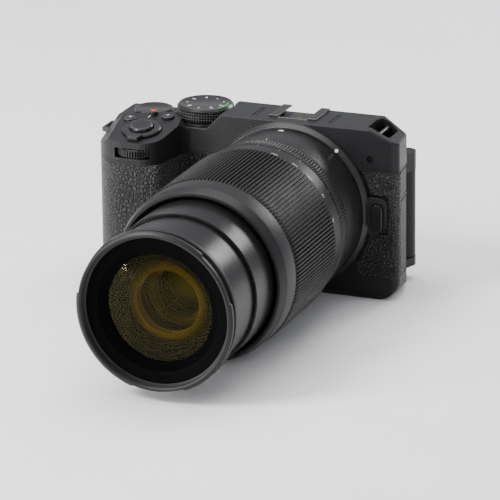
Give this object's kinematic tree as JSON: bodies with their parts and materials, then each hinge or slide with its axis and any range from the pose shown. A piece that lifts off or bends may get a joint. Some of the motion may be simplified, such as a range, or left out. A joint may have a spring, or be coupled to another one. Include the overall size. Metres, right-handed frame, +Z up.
{
  "type": "mirrorless camera with zoom lens",
  "caption": "Interchangeable-lens digital camera with a deep grip, top dials, a side-hinged rear screen and a telephoto zoom lens that turns and telescopes.",
  "frame": {"origin": "mouth of the tripod socket, in the middle of the base under the lens axis", "axes": "+Z up, -Y along the lens towards the subject, +X on the right of a viewer who faces the lens"},
  "size_m": [0.1318, 0.1822, 0.074],
  "materials": {
    "case_plastic": "fine spark-textured black casing plastic",
    "grip_rubber": "black leather-grained rubber",
    "lens_plastic": "satin black lens plastic",
    "lens_rubber": "ribbed matt black rubber",
    "tube_plastic": "fine satin black tube plastic",
    "front_plastic": "dull black anti-reflection plastic",
    "coated_glass": "polished glass with an amber and green coating",
    "mount_metal": "satin steel",
    "bezel_metal": "satin black bezel",
    "dial_metal": "black knurled metal",
    "button_plastic": "smooth black buttons",
    "red_plastic": "red dot of the movie button",
    "shoe_metal": "bare shoe rails",
    "screw_metal": "blackened screws",
    "screen_glass": "polished dark screen",
    "lamp_plastic": "dark red lamp window",
    "port_rubber": "satin black rubber",
    "socket_metal": "socket shells",
    "frame_metal": "cast frame",
    "board": "green circuit board",
    "sensor": "imaging chip under its cover glass",
    "battery_case": "grey battery case",
    "card_plastic": "dark blue card",
    "socket_steel": "tripod bush"
  },
  "bodies": {
    "root": {"top_cover": "case_plastic", "front_cover": "case_plastic", "rear_cover": "case_plastic", "base_cover": "case_plastic", "grip_rubber": "grip_rubber", "side_covering": "grip_rubber", "thumb_rest": "grip_rubber", "chassis": "frame_metal", "image_sensor": "sensor", "main_board": "board", "shutter_frame": "front_plastic", "battery": "battery_case", "memory_card": "card_plastic", "tripod_bush": "socket_steel", "screws": "screw_metal", "mount_bezel": "bezel_metal", "body_mount_ring": "mount_metal", "lens_bayonet": "mount_metal", "lens_rear_barrel": "lens_plastic", "rear_lens_cell": "front_plastic", "hot_shoe": "shoe_metal", "microphone_grilles": "bezel_metal", "strap_lugs": "bezel_metal", "assist_lamp": "lamp_plastic", "port_sockets": "socket_metal"},
    "zoom_ring": {"zoom_ring": "lens_plastic", "zoom_ring_rubber": "lens_rubber"},
    "front_group": {"front_tube": "tube_plastic", "front_rim": "lens_plastic", "front_ring": "front_plastic", "front_glass": "coated_glass"},
    "screen": {"screen_arm": "case_plastic", "screen_panel": "case_plastic", "screen_glass": "screen_glass"},
    "intermediate_tube": {"intermediate_tube": "tube_plastic"},
    "control_ring": {"control_ring": "lens_plastic"},
    "shutter_button": {"shutter_button": "button_plastic"},
    "power_switch": {"power_switch": "dial_metal"},
    "iso_button": {"iso_button": "button_plastic"},
    "exposure_button": {"exposure_button": "button_plastic"},
    "movie_button": {"movie_button": "red_plastic"},
    "mode_dial": {"mode_dial": "dial_metal"},
    "photo_video_lever": {"photo_video_lever": "button_plastic"},
    "main_command_dial": {"main_command_dial": "dial_metal"},
    "sub_command_dial": {"sub_command_dial": "dial_metal"},
    "upper_front_button": {"upper_front_button": "button_plastic"},
    "lower_front_button": {"lower_front_button": "button_plastic"},
    "ael_button": {"ael_button": "button_plastic"},
    "info_button": {"info_button": "button_plastic"},
    "menu_button": {"menu_button": "button_plastic"},
    "delete_button": {"delete_button": "button_plastic"},
    "play_button": {"play_button": "button_plastic"},
    "multi_selector": {"multi_selector": "button_plastic"},
    "ok_button": {"ok_button": "button_plastic"},
    "lens_release_button": {"lens_release_button": "button_plastic"},
    "lens_lock_pin": {"lens_lock_pin": "mount_metal"},
    "battery_door": {"battery_door": "case_plastic"},
    "battery_door_latch": {"battery_door_latch": "button_plastic"},
    "microphone_port_cover": {"microphone_port_cover": "port_rubber"},
    "data_port_cover": {"data_port_cover": "port_rubber"}
  },
  "joints": [
    {"name": "zoom_turn", "type": "hinge", "parent": "root", "child": "zoom_ring", "pos_m": [0, -0.1, 0.037], "axis": [0, -1, 0], "range_deg": [0, 80]},
    {"name": "front_slide", "type": "slide", "parent": "root", "child": "front_group", "axis": [0, 1, 0], "range_m": [0, 0.033]},
    {"name": "intermediate_slide", "type": "slide", "parent": "root", "child": "intermediate_tube", "axis": [0, 1, 0], "range_m": [0, 0.015]},
    {"name": "control_turn", "type": "hinge", "parent": "root", "child": "control_ring", "pos_m": [0, -0.0436, 0.037], "axis": [0, 1, 0], "continuous": true},
    {"name": "shutter_press", "type": "slide", "parent": "root", "child": "shutter_button", "axis": [0, 0.1869, -0.9824], "range_m": [0, 0.0008], "stiffness_N_per_m": 300, "springref_m": -0.0005},
    {"name": "power_turn", "type": "hinge", "parent": "root", "child": "power_switch", "pos_m": [-0.061, -0.028, 0.06658], "axis": [0, -0.1869, 0.9824], "range_deg": [0, 35]},
    {"name": "iso_press", "type": "slide", "parent": "root", "child": "iso_button", "axis": [0, 0, -1], "range_m": [0, 0.0005], "stiffness_N_per_m": 250, "springref_m": -0.0005},
    {"name": "exposure_press", "type": "slide", "parent": "root", "child": "exposure_button", "axis": [0, 0, -1], "range_m": [0, 0.0005], "stiffness_N_per_m": 250, "springref_m": -0.0005},
    {"name": "movie_press", "type": "slide", "parent": "root", "child": "movie_button", "axis": [0, 0, -1], "range_m": [0, 0.0005], "stiffness_N_per_m": 250, "springref_m": -0.0005},
    {"name": "mode_turn", "type": "hinge", "parent": "root", "child": "mode_dial", "pos_m": [-0.0425, -0.0026, 0.07], "axis": [0, 0, 1], "continuous": true},
    {"name": "photo_video_turn", "type": "hinge", "parent": "root", "child": "photo_video_lever", "pos_m": [-0.0425, -0.0026, 0.0666], "axis": [0, 0, 1], "range_deg": [-30, 0]},
    {"name": "main_dial_turn", "type": "hinge", "parent": "root", "child": "main_command_dial", "pos_m": [-0.0657, -0.0036, 0.066], "axis": [0, 0, 1], "continuous": true},
    {"name": "sub_dial_turn", "type": "hinge", "parent": "root", "child": "sub_command_dial", "pos_m": [-0.061, -0.0326, 0.0595], "axis": [0, 0, 1], "continuous": true},
    {"name": "upper_front_press", "type": "slide", "parent": "root", "child": "upper_front_button", "axis": [0, 1, 0], "range_m": [0, 0.0005], "stiffness_N_per_m": 250, "springref_m": -0.0005},
    {"name": "lower_front_press", "type": "slide", "parent": "root", "child": "lower_front_button", "axis": [0, 1, 0], "range_m": [0, 0.0005], "stiffness_N_per_m": 250, "springref_m": -0.0005},
    {"name": "ael_press", "type": "slide", "parent": "root", "child": "ael_button", "axis": [0, -1, 0], "range_m": [0, 0.0005], "stiffness_N_per_m": 250, "springref_m": -0.0005},
    {"name": "info_press", "type": "slide", "parent": "root", "child": "info_button", "axis": [0, -1, 0], "range_m": [0, 0.0005], "stiffness_N_per_m": 250, "springref_m": -0.0005},
    {"name": "menu_press", "type": "slide", "parent": "root", "child": "menu_button", "axis": [0, -1, 0], "range_m": [0, 0.0005], "stiffness_N_per_m": 250, "springref_m": -0.0005},
    {"name": "delete_press", "type": "slide", "parent": "root", "child": "delete_button", "axis": [0, -1, 0], "range_m": [0, 0.0005], "stiffness_N_per_m": 250, "springref_m": -0.0005},
    {"name": "play_press", "type": "slide", "parent": "root", "child": "play_button", "axis": [0, -1, 0], "range_m": [0, 0.0005], "stiffness_N_per_m": 250, "springref_m": -0.0005},
    {"name": "selector_press", "type": "slide", "parent": "root", "child": "multi_selector", "axis": [0, -1, 0], "range_m": [0, 0.0004], "stiffness_N_per_m": 350, "springref_m": -0.0005},
    {"name": "ok_press", "type": "slide", "parent": "root", "child": "ok_button", "axis": [0, -1, 0], "range_m": [0, 0.0005], "stiffness_N_per_m": 250, "springref_m": -0.0005},
    {"name": "release_press", "type": "slide", "parent": "root", "child": "lens_release_button", "axis": [0, 1, 0], "range_m": [0, 0.0018], "stiffness_N_per_m": 300, "springref_m": -0.0005},
    {"name": "lock_pin_slide", "type": "slide", "parent": "root", "child": "lens_lock_pin", "axis": [0, 1, 0], "range_m": [0, 0.0018]},
    {"name": "battery_door_swing", "type": "hinge", "parent": "root", "child": "battery_door", "pos_m": [-0.0552, -0.01575, 0.0011], "axis": [0, -1, 0], "range_deg": [0, 95]},
    {"name": "door_latch_slide", "type": "slide", "parent": "battery_door", "child": "battery_door_latch", "axis": [0, 1, 0], "range_m": [0, 0.003]},
    {"name": "microphone_cover_swing", "type": "hinge", "parent": "root", "child": "microphone_port_cover", "pos_m": [0.04818, -0.01278, 0.0494], "axis": [0, 0, -1], "range_deg": [0, 100]},
    {"name": "data_cover_swing", "type": "hinge", "parent": "root", "child": "data_port_cover", "pos_m": [0.04818, -0.01278, 0.026], "axis": [0, 0, -1], "range_deg": [0, 100]},
    {"name": "screen_swing", "type": "hinge", "parent": "root", "child": "screen", "pos_m": [0.0405, 0.0148, 0.0315], "axis": [0, 0, -1], "range_deg": [0, 180]}
  ],
  "couplings": [
    {"joint": "front_slide", "follows": "zoom_turn", "m_per_rad": 0.02363},
    {"joint": "intermediate_slide", "follows": "zoom_turn", "m_per_rad": 0.01074},
    {"joint": "lock_pin_slide", "follows": "release_press", "ratio": 1}
  ]
}
